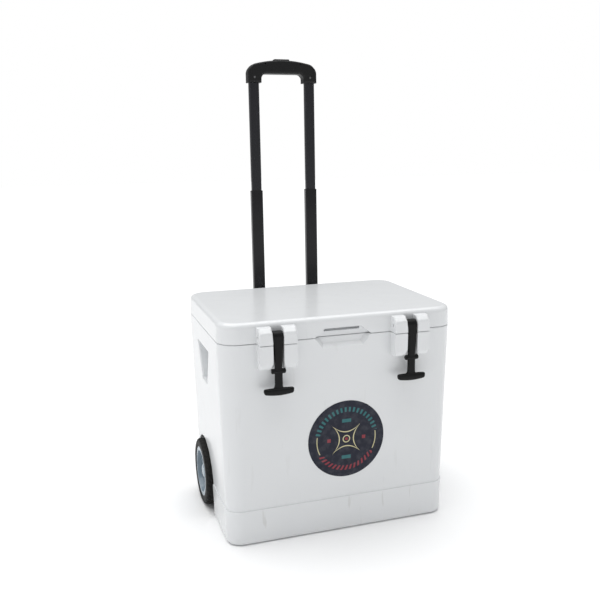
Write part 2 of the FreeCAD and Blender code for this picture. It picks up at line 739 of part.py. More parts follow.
def build_hinge(side, sign):
    """A leaf on the tub with two outer knuckles, a leaf on the lid with the middle one, and a fixed pin.
    The hinge's own origin is on its axis."""
    centre = V(sign * number("hinge_place"), number("body_depth / 2 + hinge_behind"),
               number("parting_height + hinge_rise"))
    place = FreeCAD.Placement(centre, FreeCAD.Rotation())
    third = "(hinge_width / 3)"
    foot = "-(hinge_rise + leaf_drop)"
    lean = "(leaf_drop * tan(draft_angle))"

    tub_leaf = new_body(f"{side}_hinge_tub_leaf", place)
    block(tub_leaf, "YZ_Plane", "0", "hinge_width",
          [(f"-hinge_behind - {lean}", foot), (f"-hinge_behind - {lean} + leaf_thick", foot),
           ("-hinge_behind + leaf_clear + leaf_thick", "-hinge_rise"), ("-hinge_behind + leaf_clear + leaf_thick", "0"),
           ("-hinge_behind + leaf_clear", "0"), ("-hinge_behind + leaf_clear", "-hinge_rise"),
           ("-hinge_behind", "-hinge_rise")], both=True)
    for ear in (1, -1):
        rod(tub_leaf, "YZ_Plane", f"{ear} * {third}", f"{third} - leaf_clear", "0", "0", "knuckle_diameter / 2",
            both=True)
    block(tub_leaf, "YZ_Plane", "0", f"{third} + leaf_clear",
          rectangle("-hinge_behind - 3", "-hinge_rise + leaf_clear", "hinge_behind", "hinge_behind"),
          cut=True, both=True)
    rod(tub_leaf, "YZ_Plane", "0", "hinge_width + 10", "0", "0", "hinge_pin / 2", cut=True, both=True)
    for step in TUB_LEAF_SCREWS:
        drill(tub_leaf, step, f"-(hinge_rise + {LEAF_SCREW_DROP})", "leaf_screw / 2 + screw_fit")

    lid_leaf = new_body(f"{side}_hinge_lid_leaf", place)
    lid_lean = "(hinge_rise * tan(draft_angle))"
    block(lid_leaf, "YZ_Plane", "0", f"{third} - leaf_clear",
          [("-hinge_behind - lid_gap * tan(draft_angle)", "-hinge_rise + lid_gap + 1"),
           ("-hinge_behind + leaf_thick", "-hinge_rise + lid_gap + 1"), ("-hinge_behind + leaf_thick", "2"),
           (f"-hinge_behind - {lid_lean}", "2"), (f"-hinge_behind - {lid_lean}", "0")], both=True)
    rod(lid_leaf, "YZ_Plane", "0", f"{third} - leaf_clear", "0", "0", "knuckle_diameter / 2", both=True)
    bore(lid_leaf, "0", "0", "hinge_pin / 2 + running_fit", both=True)
    for drop in LID_LEAF_SCREWS:
        drill(lid_leaf, "0", f"-{drop}", "leaf_screw / 2 + screw_fit")

    pin = new_body(f"{side}_hinge_pin", place)
    rod(pin, "YZ_Plane", "0", "hinge_width", "0", "0", "hinge_pin / 2", both=True)


def build_hinge_screws():
    face = number("body_depth / 2 + leaf_thick")
    tub_places, lid_places = [], []
    for sign in (1, -1):
        x = sign * number("hinge_place")
        for step in TUB_LEAF_SCREWS:
            spot = V(x + number(step), face, number(f"parting_height - {LEAF_SCREW_DROP}"))
            tub_places.append(FreeCAD.Placement(spot, REARWARD))
        for drop in LID_LEAF_SCREWS:
            spot = V(x, face, number(f"parting_height + hinge_rise - {drop}"))
            lid_places.append(FreeCAD.Placement(spot, REARWARD))
    screw_group("hinge_tub_screws", tub_places, "leaf_screw", 14, 7.5, 2.2)
    screw_group("hinge_lid_screws", lid_places, "leaf_screw", 12, 7, 2)


# ------------------------------------------------------------------ wheels and axle
HALF_WHEEL = "(wheel_thick / 2)"


def build_wheel(side, sign):
    """Tyre, hub, bush and cap. The wheel's own +X points out of the cooler."""
    facing = FreeCAD.Rotation(V(0, 0, 1), 0 if sign > 0 else 180)
    middle = number(f"wheel_outside - {HALF_WHEEL}")
    place = FreeCAD.Placement(V(sign * middle, number("wheel_place"), number("wheel_radius")), facing)

    tyre = new_body(f"{side}_tyre", place)
    crown = f"({HALF_WHEEL} - tyre_shoulder)"
    turn(tyre, [(f"-{HALF_WHEEL}", "rim_radius"), (HALF_WHEEL, "rim_radius"),
                (HALF_WHEEL, "wheel_radius - tyre_shoulder", "tyre_shoulder"), (crown, "wheel_radius"),
                (f"-{crown}", "wheel_radius", "tyre_shoulder"), (f"-{HALF_WHEEL}", "wheel_radius - tyre_shoulder")])

    hub = new_body(f"{side}_hub", place)
    ring_face = f"({HALF_WHEEL} - 1)"
    rim_foot = "(rim_radius - ring_width)"
    boss = "(axle_diameter / 2 + bush_wall + 8)"
    turn(hub, [("-4", "axle_diameter / 2 + bush_wall"), ("3", "axle_diameter / 2 + bush_wall"),
               ("3", f"{boss} - 3.5"), ("11", f"{boss} - 3.5"), ("11", boss), ("3", f"{boss} + 1"),
               ("3", f"{rim_foot} - 3"), (ring_face, rim_foot), (ring_face, "rim_radius"),
               (f"-{ring_face}", "rim_radius"), (f"-{ring_face}", f"{rim_foot} + 4"), ("-3", f"{rim_foot} - 2"),
               ("-3", boss), ("-14", boss), ("-14", "axle_diameter / 2 + bush_wall")])
    spoke = block(hub, "YZ_Plane", "2", "7.5",
                  [("-4.6", f"{boss} - 1"), ("4.6", f"{boss} - 1"), ("2.8", f"{rim_foot} - 1"),
                   ("-2.8", f"{rim_foot} - 1")])
    spokes = hub.newObject("PartDesign::PolarPattern", f"{side}_spokes")
    spokes.Originals = [spoke]
    spokes.Axis = (origin_part(hub, "X_Axis"), [""])
    spokes.Angle = 360
    bind(spokes, "Occurrences", "spoke_count")
    hub.Tip = spokes
    doc.recompute()

    bush = new_body(f"{side}_bush", place)
    turn(bush, [("-16", "axle_diameter / 2 + running_fit"), ("4", "axle_diameter / 2 + running_fit"),
                ("4", f"{boss} - 4"), ("3", f"{boss} - 4"), ("3", "axle_diameter / 2 + bush_wall"),
                ("-14", "axle_diameter / 2 + bush_wall"), ("-14", f"{boss} - 1"), ("-16", f"{boss} - 1")])

    cap = new_body(f"{side}_hub_cap", place)
    turn(cap, [("11", "0"), ("13", "0"), ("13", f"{boss} - 4"), ("11", f"{boss} - 0.5")])
    round_edges(cap, "1", lambda edge: edge.BoundBox.XMin > 12.9)


def build_axle():
    place = FreeCAD.Placement(V(0, number("wheel_place"), number("wheel_radius")), FreeCAD.Rotation())
    half = f"(wheel_outside - {HALF_WHEEL} + 9)"
    axle = new_body("axle", place)
    rod(axle, "YZ_Plane", "0", f"2 * {half}", "0", "0", "axle_diameter / 2", both=True)
    sleeve = new_body("axle_sleeve", place)
    rod(sleeve, "YZ_Plane", "0", f"2 * {WELL_INSIDE}", "0", "0", "sleeve_diameter / 2", both=True)
    bore(sleeve, "0", "0", "axle_diameter / 2 + running_fit", both=True)
    nuts = []
    for sign in (1, -1):
        nut = new_body(f"axle_nut_{'left' if sign < 0 else 'right'}", place, kept=False)
        inner = f"{sign} * (wheel_outside - {HALF_WHEEL} + 4.5)"
        rod(nut, "YZ_Plane", inner, "3", "0", "0", "axle_diameter / 2 + 3", back=sign < 0)
        rod(nut, "YZ_Plane", inner, "3", "0", "0", "axle_diameter / 2", cut=True, back=sign < 0)
        nuts.append(nut)
    group = doc.addObject("Part::Compound", "axle_nuts")
    group.Label = "axle_nuts"
    group.Links = nuts
    doc.recompute()
    SUBPARTS.append(group)


# ------------------------------------------------------------------ pull handle
def handle_place(x="0", z="0"):
    """The handle's frame: Z runs up the tubes, square to the rear wall, and Y is 0 in the tubes' plane."""
    frame = FreeCAD.Placement(V(0, number("body_depth / 2"), number("parting_height")),
                              FreeCAD.Rotation(V(1, 0, 0), -number("draft_angle")))
    return frame * FreeCAD.Placement(V(number(x), number("handle_offset"), number(z)), FreeCAD.Rotation())


def tube_section(size, change="0"):
    """Half width, half depth and corner of a tube's outside, grown by change."""
    return (f"({size}_tube_wide / 2 + ({change}))", f"({size}_tube_deep / 2 + ({change}))",
            f"(tube_corner + ({change}))")


def sleeve_slab(body, foot, top, outside, inside=None):
    """A length of rounded section, solid or with a rounded hole."""
    slab(body, foot, f"{top} - ({foot})", *outside)
    if inside:
        slab(body, foot, f"{top} - ({foot})", *inside, cut=True)


def build_tube(side, x, size, foot, top):
    body = new_body(f"{side}_{size}_tube", handle_place(x))
    sleeve_slab(body, foot, top, tube_section(size), tube_section(size, "-tube_wall"))


def build_outer_collar(side, x):
    """A plastic collar pressed over the outer tube's end, with a neck that guides the middle tube."""
    body = new_body(f"{side}_outer_collar", handle_place(x))
    top = "(outer_tube_top + collar_neck)"
    height = f"{top} - bracket_top"
    slab(body, "bracket_top", height, *tube_section("outer", "collar_wall"))
    high = number(top)
    round_edges(body, "1", lambda edge: edge.BoundBox.ZMin > high - 0.01)
    slab(body, "bracket_top", "outer_tube_top - bracket_top", *tube_section("outer", "running_fit"), cut=True)
    slab(body, "bracket_top", height, *tube_section("middle", "slide_fit"), cut=True)


def build_middle_bush(side, x):
    """A plastic bush inside the middle tube's end, with a lip over it, which guides the inner tube."""
    body = new_body(f"{side}_middle_bush", handle_place(x))
    foot = "(middle_tube_top - collar_neck)"
    slab(body, foot, "collar_neck + bush_lip", *tube_section("middle", "-tube_wall - running_fit"))
    slab(body, "middle_tube_top", "bush_lip", *tube_section("middle"))
    slab(body, foot, "collar_neck + bush_lip", *tube_section("inner", "slide_fit"), cut=True)


def build_tube_plug(side, x, size, outer, foot):
    """The glide at a sliding tube's foot, with a neck inside the tube, a bore for the push rod and a lock pin's
    hole in its back."""
    body = new_body(f"{side}_{size}_plug", handle_place(x))
    glide = tube_section(outer, "-tube_wall - slide_fit")
    slab(body, f"{foot} - 12", "12", *glide)
    slab(body, foot, "14", *tube_section(size, "-tube_wall - running_fit"))
    rod(body, "XY_Plane", f"{foot} - 3", "30", "0", "0", "2.6", cut=True)
    rod(body, "XZ_Plane", "2", "30", "0", f"{foot} - 6", "lock_pin / 2 + running_fit", cut=True, back=True)


def build_lock_pins(label, size, outer, foot):
    """Two lock pins as one group, drawn in until they are flush with the glides' backs."""
    pins = []
    for name, sign in (("left", -1), ("right", 1)):
        pin = new_body(f"{label}_{name}", handle_place(f"{sign} * handle_spacing / 2"), kept=False)
        reach = f"({outer}_tube_deep / 2 - tube_wall - slide_fit)"
        rod(pin, "XZ_Plane", "-1", f"{reach} - 1", "0", f"{foot} - 6", "lock_pin / 2", back=True)
        pins.append(pin)
    group = doc.addObject("Part::Compound", label)
    group.Links = pins
    group.Label = label
    doc.recompute()
    SUBPARTS.append(group)


EAR_MIDDLE = "(handle_spacing / 2 + outer_tube_wide / 2 + bracket_wall + bracket_ear)"
BRACKET_SCREWS = [(EAR_MIDDLE, "ear_thick - handle_offset"),
                  (f"-{EAR_MIDDLE}", "ear_thick - handle_offset"),
                  ("12", "waist_thick - handle_offset"), ("-12", "waist_thick - handle_offset")]


def build_bracket(label, top, blind):
    """A bracket screwed flat to the rear wall that holds both outer tubes. A blind one closes their feet."""
    body = new_body(label, handle_place())
    height = "bracket_height"
    foot = f"({top} - {height})"
    back = "(outer_tube_deep / 2 + bracket_wall)"
    half = "(handle_spacing / 2 + outer_tube_wide / 2 + bracket_wall)"
    slab(body, foot, height, half, f"({back} + handle_offset) / 2", "6", y=f"({back} - handle_offset) / 2")
    slab(body, foot, height, f"({EAR_MIDDLE} + bracket_ear - 2)", "ear_thick / 2", "(ear_thick / 2 - 0.1)",
         y="ear_thick / 2 - handle_offset")
    waist = "(handle_spacing / 2 - outer_tube_wide / 2 - bracket_wall - 1)"
    slab(body, foot, height, waist, "handle_offset / 2", "5", y="waist_thick - handle_offset / 2", cut=True)
    block(body, "XY_Plane", foot, height, rectangle(f"-{waist}", "0", waist, f"{back} + 1"), cut=True)
    for sign in (1, -1):
        slab(body, f"{foot} + {blind}", height, *tube_section("outer", "running_fit"),
             x=f"{sign} * handle_spacing / 2", cut=True)
    for x, _ in BRACKET_SCREWS:
        drill(body, x, f"{foot} + {height} / 2", "bracket_screw / 2 + screw_fit")


def bracket_screw_places():
    places = []
    for top in ("bracket_top", "bracket_low_top"):
        for x, seat in BRACKET_SCREWS:
            height = f"{top} - bracket_height / 2"
            places.append(handle_place(x, height) * FreeCAD.Placement(V(0, number(seat), 0), REARWARD))
    return places


YOKE_TOP = "(inner_tube_top + 6 + button_travel)"
YOKE_FOOT = f"({YOKE_TOP} - 5)"
YOKE_HALF = "(handle_spacing / 2 + 4)"
GRIP_SEAT = "(grip_thick / 2 - 4)"


def grip_outline():
    """The grip's outline in X and Z: two sockets joined by a bar with a crowned top."""
    half = "grip_half_width"
    shoulder = "(grip_half_width - 12)"
    rise = "(grip_crown - grip_shoulder - 5)"
    crown = f"(({shoulder} ^ 2 + {rise} ^ 2) / (2 * {rise}))"
    return [(f"-{half}", "grip_bottom"), ("-grip_opening", "grip_bottom"), ("-grip_opening", "grip_under"),
            ("grip_opening", "grip_under"), ("grip_opening", "grip_bottom"), (half, "grip_bottom"),
            (half, "grip_shoulder - 8"), (shoulder, "grip_shoulder + 5", crown), (f"-{shoulder}", "grip_shoulder + 5"),
            (f"-{half}", "grip_shoulder - 8")]


def build_grip_shell(label, front):
    """Half of the grip, split in the plane of the tubes, with the tube sockets and the yoke's channel cut."""
    body = new_body(label, handle_place())
    block(body, "XZ_Plane", "0", "grip_thick / 2", grip_outline(), back=not front)
    half = number("grip_half_width")
    low = number("grip_bottom")
    upright = V(0, 1, 0)
    round_edges(body, "grip_inner_corner", lambda edge: runs_along(edge, upright)
                and abs(abs(edge.BoundBox.Center.x) - number("grip_opening")) < 0.1
                and edge.BoundBox.Center.z > low + 5)
    round_edges(body, "grip_corner", lambda edge: runs_along(edge, upright)
                and abs(edge.BoundBox.Center.x) > half - 20 and edge.BoundBox.Center.z > low + 5)
    face = number("grip_thick / 2")
    round_edges(body, "5", lambda edge: abs(abs(edge.BoundBox.YMax) - face) < 0.01
                and abs(abs(edge.BoundBox.YMin) - face) < 0.01)
    for sign in (1, -1):
        slab(body, "grip_bottom - 5", "inner_tube_top + 5 - grip_bottom", *tube_section("inner", "running_fit"),
             x=f"{sign} * handle_spacing / 2", cut=True)
    block(body, "XZ_Plane", "0", "9", rectangle(f"-{YOKE_HALF} - 1", "inner_tube_top", f"{YOKE_HALF} + 1",
                                                f"{YOKE_TOP} + 1.5"), cut=True, both=True)
    slab(body, "inner_tube_top", "60", "(button_width / 2 + 0.3)", "(button_deep / 2 + 0.3)", "3.3", cut=True)
    rod(body, "XY_Plane", "grip_under + 3", "20", "0", "0", "4.5", cut=True)
    for sign in (1, -1):
        for x, z, from_front in ((f"{sign} * handle_spacing / 2", "grip_bottom + 12", front),
                                 (f"{sign} * bar_screw_place", "bar_screw_height", False)):
            drill(body, x, z, "grip_screw / 2 + screw_fit")
            if from_front or not front:
                rod(body, "XZ_Plane", GRIP_SEAT if front else f"-{GRIP_SEAT}", "10", x, z, "3", cut=True,
                    back=not front)


def build_button():
    place = handle_place()
    button = new_body("release_button", place)
    top = "(grip_crown + button_proud)"
    slab(button, YOKE_TOP, f"{top} - {YOKE_TOP}", "(button_width / 2)", "(button_deep / 2)", "3")
    high = number(top)
    round_edges(button, "1.5", lambda edge: edge.BoundBox.ZMin > high - 0.01)

    rods = new_body("push_rods", place)
    block(rods, "XZ_Plane", "0", "7", rectangle(f"-{YOKE_HALF}", YOKE_FOOT, YOKE_HALF, YOKE_TOP), both=True)
    for sign in (1, -1):
        rod(rods, "XY_Plane", "inner_tube_foot + 2", f"{YOKE_FOOT} - inner_tube_foot - 1",
            f"{sign} * handle_spacing / 2", "0", "2")


def build_spring():
    """The space that the button's compression spring fills, between the grip's floor and the yoke."""
    body = new_body("button_spring", handle_place())
    foot = "(grip_under + 3 + running_fit)"
    height = f"{YOKE_FOOT} - running_fit - {foot}"
    rod(body, "XY_Plane", foot, height, "0", "0", "spring_diameter / 2")
    rod(body, "XY_Plane", foot, height, "0", "0", "spring_diameter / 2 - spring_wire", cut=True)


def build_grip_screws():
    """Screws into the inner tubes from the front and the rear, and two that join the shells along the bar."""
    seat = number(GRIP_SEAT)
    front = FreeCAD.Placement(V(0, -seat, 0), FORWARD)
    rear = FreeCAD.Placement(V(0, seat, 0), REARWARD)
    sockets, bar = [], []
    for sign in (1, -1):
        for facing in (front, rear):
            sockets.append(handle_place(f"{sign} * handle_spacing / 2", "grip_bottom + 12") * facing)
        bar.append(handle_place(f"{sign} * bar_screw_place", "bar_screw_height") * rear)
    screw_group("grip_socket_screws", sockets, "grip_screw", 8, 5.4, 2)
    screw_group("grip_bar_screws", bar, "grip_screw", 20, 5.4, 2)


# ------------------------------------------------------------------ drain
def build_drain():
    """A threaded fitting through the right wall, a turned plug and its gasket. Their own X runs outwards."""
    wall = number("body_width / 2 - (parting_height - drain_height) * tan(draft_angle)")
    inner = number("cavity_width / 2 - (parting_height - drain_height) * tan(cavity_draft)")
    place = FreeCAD.Placement(V(wall, number("drain_place"), number("drain_height")), FreeCAD.Rotation())
    long = wall - inner
    fitting = new_body("drain_fitting", place)
    turn(fitting, [(f"-{long} - 2.5", "drain_bore / 2"), ("3.5", "drain_bore / 2"), ("3.5", "drain_flange / 2"),
                   ("0.6", "drain_flange / 2"), ("0.6", "drain_body / 2"), (f"-{long} - 2.5", "drain_body / 2")])
    gasket = new_body("drain_gasket", place)
    turn(gasket, [("3.6", "drain_bore / 2 + 1"), ("5", "drain_bore / 2 + 1"), ("5", "drain_flange / 2 - 3"),
                  ("3.6", "drain_flange / 2 - 3")])
    plug = new_body("drain_plug", place)
    turn(plug, [("-16", "0"), ("9", "0"), ("9", "drain_flange / 2 - 4"), ("5.1", "drain_flange / 2 - 2"),
                ("5.1", "drain_bore / 2 - running_fit * 2"), ("-16", "drain_bore / 2 - running_fit * 2")])
    block(plug, "XZ_Plane", "0", "5", rectangle("8", "-11", "14", "11"), both=True)


# ------------------------------------------------------------------ build
def build_all():
    build_tub()
    build_liner()
    build_tub_foam()
    build_badge()
    build_lid_shell()
    build_lid_liner()
    build_lid_foam()
    build_gasket()
    for side, sign in (("left", -1), ("right", 1)):
        build_latch(side, sign)
        build_hinge(side, sign)
        build_wheel(side, sign)
        x = f"{sign} * handle_spacing / 2"
        build_tube(side, x, "outer", "outer_tube_foot", "outer_tube_top")
        build_tube(side, x, "middle", "middle_tube_foot", "middle_tube_top")
        build_tube(side, x, "inner", "inner_tube_foot", "inner_tube_top")
        build_outer_collar(side, x)
        build_middle_bush(side, x)
        build_tube_plug(side, x, "middle", "outer", "middle_tube_foot")
        build_tube_plug(side, x, "inner", "middle", "inner_tube_foot")
    build_hinge_screws()
    build_axle()
    build_bracket("handle_upper_bracket", "bracket_top", "0")
    build_bracket("handle_lower_bracket", "bracket_low_top", "(outer_tube_foot - bracket_low_top + bracket_height)")
    screw_group("bracket_screws", bracket_screw_places(), "bracket_screw", 16, 9, 2.6)
    build_lock_pins("middle_lock_pins", "middle", "outer", "middle_tube_foot")
    build_lock_pins("inner_lock_pins", "inner", "middle", "inner_tube_foot")
    build_grip_shell("grip_front_shell", True)
    build_grip_shell("grip_rear_shell", False)
    build_grip_screws()
    build_button()
    build_spring()
    build_drain()


def export_all():
    """Checks every object, then writes each sub-part to its own file."""
    doc.recompute()
    for thing in doc.Objects:
        if "Invalid" in thing.State or "Error" in thing.State:
            raise ValueError(f"{thing.Label} failed: {thing.State}")
    for part in SUBPARTS:
        if part.Shape.isNull() or not part.Shape.isValid() or not part.Shape.Solids:
            raise ValueError(f"{part.Label} is not a valid solid")
    os.makedirs("parts", exist_ok=True)
    for part in SUBPARTS:
        part.Shape.exportStep(os.path.join("parts", part.Label + ".step"))
        print(f"{part.Label}: {len(part.Shape.Solids)} solids, {part.Shape.Volume / 1000:.1f} cm3")


build_all()
export_all()
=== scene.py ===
"""A hard cooler on two wheels with a pull handle: its finishes, rubber parts, light and camera.

Everything is in metres. +Z is up, +X is right seen from the front, and -Y is the front.
"""
import math

import bmesh
import bpy
import numpy as np
from mathutils import Matrix, Vector


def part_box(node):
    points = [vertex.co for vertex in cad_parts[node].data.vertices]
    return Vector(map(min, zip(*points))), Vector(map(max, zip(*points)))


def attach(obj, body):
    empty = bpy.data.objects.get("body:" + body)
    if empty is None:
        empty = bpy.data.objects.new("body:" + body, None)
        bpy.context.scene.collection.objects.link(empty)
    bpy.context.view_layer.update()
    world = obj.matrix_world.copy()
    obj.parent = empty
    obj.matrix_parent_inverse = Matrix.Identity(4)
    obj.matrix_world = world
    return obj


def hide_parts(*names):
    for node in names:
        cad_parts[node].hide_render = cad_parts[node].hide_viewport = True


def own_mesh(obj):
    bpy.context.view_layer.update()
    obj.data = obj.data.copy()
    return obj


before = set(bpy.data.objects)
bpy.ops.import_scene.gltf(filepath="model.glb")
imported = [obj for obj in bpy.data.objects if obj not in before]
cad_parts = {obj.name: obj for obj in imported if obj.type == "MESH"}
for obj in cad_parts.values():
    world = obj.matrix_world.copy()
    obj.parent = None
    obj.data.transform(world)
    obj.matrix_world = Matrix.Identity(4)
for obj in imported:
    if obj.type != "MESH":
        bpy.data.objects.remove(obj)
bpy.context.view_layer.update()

MM = 0.001
DRAFT = math.radians(1.34)


def middle(node):
    """The middle of a node's box."""
    low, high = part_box(node)
    return (Vector(low) + Vector(high)) / 2


# ------------------------------------------------------------------ shader values
class Value:
    """A socket in a finish. Arithmetic on it adds Math nodes."""

    def __init__(self, finish, socket):
        self.finish = finish
        self.socket = socket

    def math(self, operation, *others, clamp=False):
        inputs = [self, *others]
        return self.finish.node("ShaderNodeMath", inputs, operation=operation, use_clamp=clamp)

    def __add__(self, other):
        return self.math("ADD", other)

    __radd__ = __add__

    def __mul__(self, other):
        return self.math("MULTIPLY", other)

    __rmul__ = __mul__

    def __sub__(self, other):
        return self.math("SUBTRACT", other)

    def __rsub__(self, other):
        return self.math("MULTIPLY_ADD", -1.0, other)

    def __truediv__(self, other):
        return self.math("DIVIDE", other)

    def __abs__(self):
        return self.math("ABSOLUTE")

    def clamped(self):
        return self.math("ADD", 0.0, clamp=True)

    def above(self, edge, soft):
        """0 below an edge and 1 above it, over a soft width."""
        return ((self - edge) / soft + 0.5).clamped()

    def between(self, low, high, soft):
        """1 between two edges and 0 outside them."""
        return self.above(low, soft) * (1 - self.above(high, soft))


class Finish:
    """A material, and the nodes that make it."""

    def __init__(self, name, **constants):
        self.material = bpy.data.materials.new(name)
        self.material.use_nodes = True
        self.tree = self.material.node_tree
        self.shader = self.tree.nodes["Principled BSDF"]
        for socket, value in constants.items():
            self.shader.inputs[socket.replace("_", " ")].default_value = value

    def node(self, kind, inputs=(), output=0, **settings):
        """Adds a node: its settings, then the values or links of its sockets. Gives one output."""
        node = self.tree.nodes.new(kind)
        for name, value in settings.items():
            setattr(node, name, value)
        named = inputs.items() if isinstance(inputs, dict) else enumerate(inputs)
        for socket, value in named:
            if isinstance(value, Value):
                self.tree.links.new(value.socket, node.inputs[socket])
            else:
                node.inputs[socket].default_value = value
        return Value(self, node.outputs[output])

    def place(self):
        """Where a point of the piece is, in the object's own frame."""
        return self.node("ShaderNodeTexCoord", output="Object")

    def axes(self):
        """How far right, back and up a point of the piece is."""
        split = self.node("ShaderNodeSeparateXYZ", [self.place()])
        return [Value(self, part) for part in split.socket.node.outputs]

    def from_axle(self):
        """How far a point of a wheel is from the axle."""
        wheel = middle("left_tyre")
        back, up = self.axes()[1:]
        back = back - wheel.y
        up = up - wheel.z
        return (back * back + up * up).math("SQRT")

    def noise(self, scale, detail=2.0, stretch=None):
        """Noise of about 0 to 1. Its grain is 1 / scale metres, longer where stretch is below 1."""
        at = self.place()
        if stretch:
            at = self.node("ShaderNodeMapping", {"Vector": at, "Scale": stretch})
        return self.node("ShaderNodeTexNoise", {"Vector": at, "Scale": scale, "Detail": detail})

    def cells(self, scale):
        """Distance to the nearest of scattered points."""
        return self.node("ShaderNodeTexVoronoi", {"Vector": self.place(), "Scale": scale})

    def mix(self, share, first, second):
        """A colour between two."""
        return self.node("ShaderNodeMix", {0: share, 6: first, 7: second}, output=2, data_type="RGBA")

    def feed(self, socket, value):
        self.tree.links.new(value.socket, self.shader.inputs[socket])

    def rough(self, middle_value, spread, value):
        """Roughness about a middle value, led by a value of 0 to 1."""
        self.feed("Roughness", value * (2 * spread) + (middle_value - spread))

    def bumps(self, *layers):
        """Lays bumps over each other. A layer is a height of 0 to 1 and its depth in metres."""
        normal = None
        for height, depth in layers:
            inputs = {"Height": height, "Distance": depth, "Strength": 1.0}
            if normal:
                inputs["Normal"] = normal
            normal = self.node("ShaderNodeBump", inputs)
        self.feed("Normal", normal)


def colour(red, green, blue):
    return (red, green, blue, 1.0)


# ------------------------------------------------------------------ finishes
def moulded_white(name="moulded_white", tint=colour(0.80, 0.812, 0.822), gloss=0.27):
    """Glossy moulded plastic with faint orange peel, slow waves, and scuffs mostly near the floor."""
    finish = Finish(name, Coat_Weight=0.25, Coat_Roughness=0.12, Specular_IOR_Level=0.5)
    height = finish.axes()[2]
    cloud = finish.noise(9, 3.0)
    fine = finish.noise(700, 1.0)
    scratches = finish.noise(60, 4.0, stretch=(1.0, 1.0, 0.15)).above(0.66, 0.05)
    low = 1 - height.above(0.05, 0.1)
    worn = (scratches * (low * 0.75 + 0.12)).clamped()
    darker = colour(*(part * 0.97 for part in tint[:3]))
    aged = finish.mix(cloud, tint, darker)
    finish.feed("Base Color", finish.mix(worn, aged, colour(0.60, 0.60, 0.585)))
    finish.rough(gloss, 0.06, cloud * 0.6 + worn * 0.4)
    finish.bumps((finish.noise(14, 1.0), 0.0007), (fine, 0.00003), (worn, -0.00003))
    return finish.material


def liner_white():
    return moulded_white("liner_white", colour(0.74, 0.745, 0.74), 0.36)


def foam():
    """Cut rigid foam: cream, with open cells and darker pores."""
    finish = Finish("rigid_foam", Roughness=0.9)
    pores = finish.cells(420)
    cloud = finish.noise(30, 3.0)
    deep, pale = colour(0.62, 0.52, 0.30), colour(0.80, 0.72, 0.50)
    finish.feed("Base Color", finish.mix(pores * 0.6 + cloud * 0.3, deep, pale))
    finish.bumps((pores, 0.0006))
    return finish.material


def rubber(name, shade, middle_rough, grain_depth):
    """Black rubber with a fine matt grain and a dusty bloom."""
    finish = Finish(name, Specular_IOR_Level=0.2)
    bloom = finish.noise(35, 4.0)
    grain = finish.noise(1600, 1.0)
    black, dusty = colour(shade, shade, shade * 1.05), colour(shade * 2.2, shade * 2.2, shade * 2.3)
    finish.feed("Base Color", finish.mix(bloom.above(0.55, 0.3) * 0.5, black, dusty))
    finish.rough(middle_rough, 0.1, bloom)
    finish.bumps((grain, grain_depth))
    return finish.material


def tyre_rubber():
    """Tyre rubber, greyer and rougher where the tread meets the ground."""
    finish = Finish("tyre_rubber", Specular_IOR_Level=0.2)
    from_axle = finish.from_axle()
    tread = from_axle.above(0.0715, 0.003)
    dust = finish.noise(120, 5.0)
    black, dusty = colour(0.005, 0.005, 0.0055), colour(0.07, 0.067, 0.062)
    finish.feed("Base Color", finish.mix((tread * 0.3 + 0.08) * dust, black, dusty))
    finish.rough(0.68, 0.14, dust * 0.6 + tread * 0.4)
    rings = (from_axle * 1500).math("SINE") * from_axle.between(0.0585, 0.0655, 0.001) * 0.5 + 0.5
    finish.bumps((finish.noise(1100, 1.0), 0.00008), (rings, 0.0002))
    return finish.material


def hub_plastic():
    """A pale rim ring round a darker steel-blue hollow with paler spokes and boss. The darker blue is
    painted shade, strongest where the hollow is recessed deepest.
    """
    finish = Finish("hub_plastic", Coat_Weight=0.3, Coat_Roughness=0.1, Specular_IOR_Level=0.35)
    from_axle = finish.from_axle()
    outwards = abs(finish.axes()[0])
    # Painted shade: the hollow round the axle turns dark blue mostly where it lies deep, so the raised
    # spokes and boss stay paler.
    deep = 1 - outwards.above(0.2435, 0.002)
    dish_and_recess_shade = from_axle.between(0.0165, 0.0468, 0.0006) * (deep * 0.8 + 0.2)
    cloud = finish.noise(45, 3.0)
    # The dark blue stands for painted shade in the recessed hollow; the pale grey-blue is the ring's own
    # colour.
    blue = finish.mix(cloud, colour(0.020, 0.050, 0.080), colour(0.045, 0.105, 0.150))
    pale = finish.mix(cloud, colour(0.24, 0.31, 0.37), colour(0.32, 0.39, 0.45))
    finish.feed("Base Color", finish.mix(dish_and_recess_shade, pale, blue))
    finish.rough(0.28, 0.08, cloud)
    finish.bumps((finish.noise(800, 1.0), 0.00003), (finish.noise(40, 1.0), 0.0004))
    return finish.material


def bare_steel(name, shade, middle_rough, stretch):
    """Plated steel with fine drawn lines and a few dull spots."""
    finish = Finish(name, Metallic=1.0)
    lines = finish.noise(900, 2.0, stretch=stretch)
    spots = finish.noise(160, 3.0).above(0.62, 0.12)
    bright = colour(shade, shade, shade * 1.02)
    dull = colour(shade * 0.55, shade * 0.54, shade * 0.52)
    finish.feed("Base Color", finish.mix(spots * 0.5, bright, dull))
    finish.rough(middle_rough, 0.1, lines * 0.6 + spots * 0.4)
    finish.bumps((lines, 0.00003))
    return finish.material


def black_paint(name, shade, shine):
    """Black painted tube: glossy, with faint lines drawn along it and rubbed spots."""
    finish = Finish(name, Coat_Weight=shine, Coat_Roughness=0.06, Specular_IOR_Level=0.3)
    lines = finish.noise(500, 2.0, stretch=(1.0, 1.0, 0.02))
    rubbed = finish.noise(70, 4.0, stretch=(1.0, 1.0, 0.2)).above(0.68, 0.06)
    black, grey = colour(shade, shade, shade * 1.3), colour(shade + 0.02, shade + 0.02, shade + 0.028)
    finish.feed("Base Color", finish.mix(rubbed * 0.35 + lines * 0.15, black, grey))
    finish.rough(0.26, 0.07, lines * 0.5 + rubbed * 0.5)
    finish.bumps((lines, 0.00002), (finish.noise(25, 1.0), 0.0002))
    return finish.material


